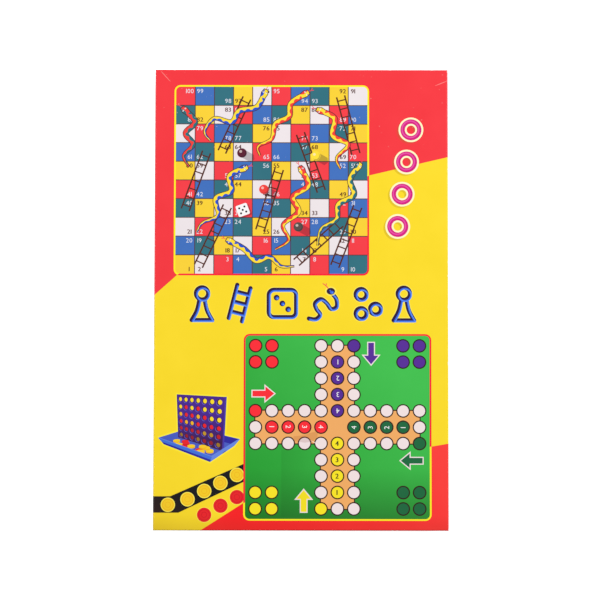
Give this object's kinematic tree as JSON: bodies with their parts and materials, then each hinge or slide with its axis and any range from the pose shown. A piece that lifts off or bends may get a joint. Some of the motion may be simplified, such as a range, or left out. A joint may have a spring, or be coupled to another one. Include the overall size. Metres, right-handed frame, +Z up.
{
  "type": "boxed board game set",
  "caption": "Flat lift-off-lid paperboard box with printed lid, holding a folding snakes and ladders board, a four-in-a-row tray and rack, counters, pawns and a die.",
  "frame": {"origin": "middle of the box's underside, where it lies on a table", "axes": "+Z up out of the printed lid, +Y towards the top edge of the lid's print (the long way of the box), +X to the right of the print"},
  "size_m": [0.172, 0.27, 0.04],
  "materials": {
    "printed_paperboard": "satin",
    "plain_paperboard": "matte",
    "game_board": "satin",
    "tray_plastic": "satin",
    "rack_plastic": "satin",
    "red_plastic": "gloss",
    "yellow_plastic": "gloss",
    "violet_plastic": "gloss",
    "green_plastic": "gloss",
    "white_plastic": "gloss"
  },
  "bodies": {
    "box": {"base": "plain_paperboard", "counter_stack_red_1": "red_plastic", "counter_stack_red_2": "red_plastic", "counter_stack_red_3": "red_plastic", "counter_stack_yellow_1": "yellow_plastic", "counter_stack_yellow_2": "yellow_plastic", "counter_stack_yellow_3": "yellow_plastic", "die": "white_plastic", "pawn_red_1": "red_plastic", "pawn_red_2": "red_plastic", "pawn_red_3": "red_plastic", "pawn_red_4": "red_plastic", "pawn_violet_1": "violet_plastic", "pawn_violet_2": "violet_plastic", "pawn_violet_3": "violet_plastic", "pawn_violet_4": "violet_plastic", "pawn_yellow_1": "yellow_plastic", "pawn_yellow_2": "yellow_plastic", "pawn_yellow_3": "yellow_plastic", "pawn_yellow_4": "yellow_plastic", "pawn_green_1": "green_plastic", "pawn_green_2": "green_plastic", "pawn_green_3": "green_plastic", "pawn_green_4": "green_plastic"},
    "lid": {"lid": "printed_paperboard"},
    "tray": {"stand_tray": "tray_plastic"},
    "rack": {"rack_back": "rack_plastic", "rack_front": "rack_plastic"},
    "board_lower": {"board_leaf_lower": "game_board"},
    "board_upper": {"board_leaf_upper": "game_board"}
  },
  "joints": [
    {"name": "lid_lift", "type": "slide", "parent": "box", "child": "lid", "axis": [0, 0, 1], "range_m": [0, 0.6]},
    {"name": "tray_lift", "type": "slide", "parent": "box", "child": "tray", "axis": [0, 0, 1], "range_m": [0, 0.051]},
    {"name": "rack_lift", "type": "slide", "parent": "tray", "child": "rack", "axis": [0, 0, 1], "range_m": [0, 0.051]},
    {"name": "board_lift", "type": "slide", "parent": "box", "child": "board_lower", "axis": [0, 0, 1], "range_m": [0, 0.201]},
    {"name": "board_fold", "type": "hinge", "parent": "board_lower", "child": "board_upper", "pos_m": [-0.064, 0, 0.0294], "axis": [0, -1, 0], "range_deg": [0, 180]}
  ],
  "couplings": [
    {"joint": "tray_lift", "follows": "lid_lift", "ratio": 0.083333},
    {"joint": "rack_lift", "follows": "lid_lift", "ratio": 0.083333},
    {"joint": "board_lift", "follows": "lid_lift", "ratio": 0.33333},
    {"joint": "board_fold", "follows": "lid_lift", "rad_per_m": 5.2359}
  ]
}
